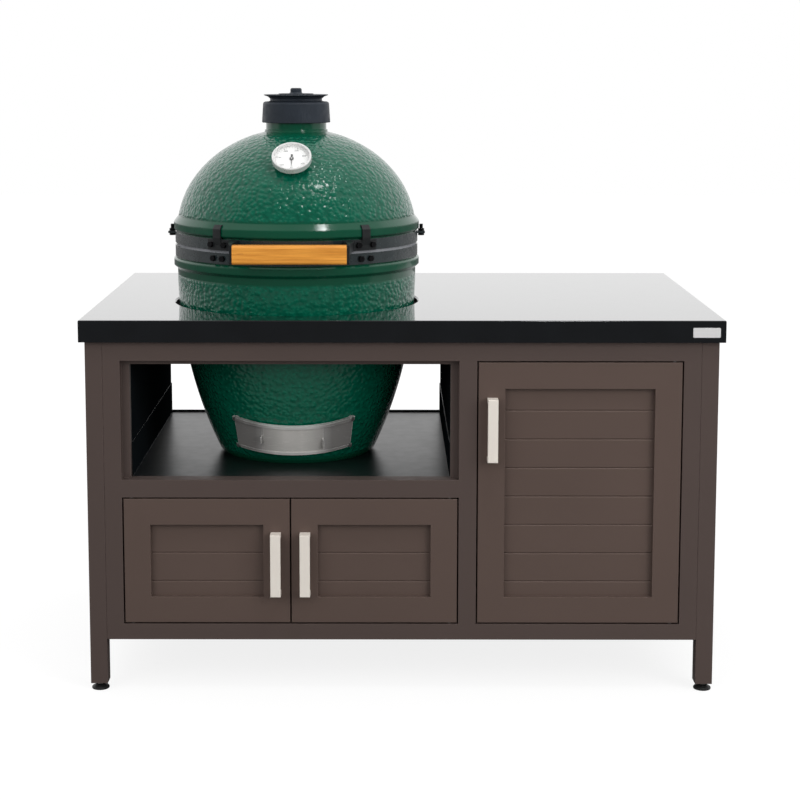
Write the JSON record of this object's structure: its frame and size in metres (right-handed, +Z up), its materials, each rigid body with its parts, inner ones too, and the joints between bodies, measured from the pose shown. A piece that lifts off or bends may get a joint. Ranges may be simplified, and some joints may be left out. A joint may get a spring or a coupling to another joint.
{
  "type": "kamado grill table",
  "caption": "Steel patio table with a ceramic kamado grill set into its black top, an open bay around it, a pair of low doors and a tall cabinet door.",
  "frame": {"origin": "middle of the countertop's outline, on the floor", "axes": "+X to the right seen from the front, +Y to the rear, +Z up"},
  "size_m": [1.372, 0.88, 1.2975],
  "materials": {
    "countertop_black": "polished black",
    "plate_steel": "brushed",
    "green_glaze": "dark green gloss glaze",
    "felt": "pressed felt, dark",
    "band_steel": "black powder coat",
    "bolt_black": "black plated",
    "bolt_steel": "plated",
    "black_steel": "black powder coat",
    "bamboo": "oiled bamboo",
    "draft_steel": "brushed stainless",
    "fire_clay": "unglazed fire clay",
    "cast_grate": "raw casting",
    "grid_steel": "stainless bar",
    "thermometer_steel": "polished stainless",
    "dial_white": "white enamel",
    "dial_glass": "clear",
    "pointer_black": "black enamel",
    "cap_iron": "dark satin coat",
    "black_sheet": "black gloss powder coat",
    "black_plastic": "matte",
    "foot_plastic": "matte black",
    "brown_frame": "brown powder coat",
    "brown_door": "brown powder coat",
    "satin_nickel": "satin nickel"
  },
  "bodies": {
    "table": {"countertop": "countertop_black", "edge_plate": "plate_steel", "leg_front_left": "brown_frame", "leg_front_right": "brown_frame", "face_frame": "brown_frame", "rear_frame": "brown_frame", "side_rails": "brown_frame", "side_panel_left": "brown_frame", "side_panel_right": "brown_frame", "bay_wall_left": "black_sheet", "cabinet_wall_right": "black_sheet", "partition": "black_sheet", "bay_shelf": "black_sheet", "cabinet_floor": "black_sheet", "back_panel": "black_sheet", "cabinet_shelf": "black_sheet", "shelf_pins": "bolt_steel", "door_catches": "black_plastic", "door_pins": "bolt_steel", "ceramic_base": "green_glaze", "base_gasket": "felt", "lower_band": "band_steel", "base_bolts": "bolt_black", "hinge_bracket_lower": "black_steel", "hinge_pin": "bolt_steel", "hinge_springs": "bolt_steel", "draft_door_frame": "draft_steel", "fire_box": "fire_clay", "fire_ring": "fire_clay", "fire_grate": "cast_grate", "cooking_grid": "grid_steel"},
    "foot_front_left": {"foot_front_left": "foot_plastic"},
    "foot_front_right": {"foot_front_right": "foot_plastic"},
    "foot_rear_left": {"foot_rear_left": "foot_plastic"},
    "foot_rear_right": {"foot_rear_right": "foot_plastic"},
    "left_door": {"left_door_frame": "brown_door", "left_door_panel": "brown_door", "left_door_pull": "satin_nickel"},
    "right_door": {"right_door_frame": "brown_door", "right_door_panel": "brown_door", "right_door_pull": "satin_nickel"},
    "cabinet_door": {"cabinet_door_frame": "brown_door", "cabinet_door_panel": "brown_door", "cabinet_door_pull": "satin_nickel"},
    "draft_door": {"draft_door": "draft_steel"},
    "draft_screen": {"draft_screen": "draft_steel"},
    "dome": {"ceramic_dome": "green_glaze", "dome_gasket": "felt", "upper_band": "band_steel", "dome_bolts": "bolt_black", "hinge_bracket_upper": "black_steel", "handle_brackets": "black_steel", "wood_handle": "bamboo", "thermometer_case": "thermometer_steel", "thermometer_dial": "dial_white", "thermometer_lens": "dial_glass", "vent_cap": "cap_iron"},
    "pointer": {"thermometer_pointer": "pointer_black"},
    "vent_lid": {"vent_lid": "cap_iron"},
    "vent_dial": {"vent_dial": "cap_iron"}
  },
  "joints": [
    {"name": "foot_front_left_turn", "type": "hinge", "parent": "table", "child": "foot_front_left", "pos_m": [-0.65575, -0.40175, 0.008], "axis": [0, 0, 1], "continuous": true},
    {"name": "foot_front_right_turn", "type": "hinge", "parent": "table", "child": "foot_front_right", "pos_m": [0.65575, -0.40175, 0.008], "axis": [0, 0, 1], "continuous": true},
    {"name": "foot_rear_left_turn", "type": "hinge", "parent": "table", "child": "foot_rear_left", "pos_m": [-0.65575, 0.40175, 0.008], "axis": [0, 0, 1], "continuous": true},
    {"name": "foot_rear_right_turn", "type": "hinge", "parent": "table", "child": "foot_rear_right", "pos_m": [0.65575, 0.40175, 0.008], "axis": [0, 0, 1], "continuous": true},
    {"name": "left_door_hinge", "type": "hinge", "parent": "table", "child": "left_door", "pos_m": [-0.581, -0.411, 0.2891], "axis": [0, 0, -1], "range_deg": [0, 110]},
    {"name": "right_door_hinge", "type": "hinge", "parent": "table", "child": "right_door", "pos_m": [0.1035, -0.411, 0.2891], "axis": [0, 0, 1], "range_deg": [0, 110]},
    {"name": "cabinet_door_hinge", "type": "hinge", "parent": "table", "child": "cabinet_door", "pos_m": [0.581, -0.411, 0.4375], "axis": [0, 0, 1], "range_deg": [0, 110]},
    {"name": "draft_door_slide", "type": "hinge", "parent": "table", "child": "draft_door", "pos_m": [-0.238, -0.088, 0.61134], "axis": [0, -0.3725, 0.928], "range_deg": [0, 16]},
    {"name": "draft_screen_slide", "type": "hinge", "parent": "table", "child": "draft_screen", "pos_m": [-0.238, -0.088, 0.61134], "axis": [0, -0.3725, 0.928], "range_deg": [-15, 0]},
    {"name": "dome_hinge", "type": "hinge", "parent": "table", "child": "dome", "pos_m": [-0.238, 0.2503, 0.948], "axis": [-1, 0, 0], "range_deg": [0, 75]},
    {"name": "pointer_turn", "type": "hinge", "parent": "dome", "child": "pointer", "pos_m": [-0.238, -0.29399, 1.14829], "axis": [0, 0.6602, -0.7511], "range_deg": [0, 300]},
    {"name": "vent_lid_swing", "type": "hinge", "parent": "dome", "child": "vent_lid", "pos_m": [-0.238, -0.032, 1.2806], "axis": [0, 0, 1], "range_deg": [0, 100]},
    {"name": "vent_dial_turn", "type": "hinge", "parent": "vent_lid", "child": "vent_dial", "pos_m": [-0.238, -0.088, 1.285], "axis": [0, 0, 1], "range_deg": [0, 30]}
  ]
}
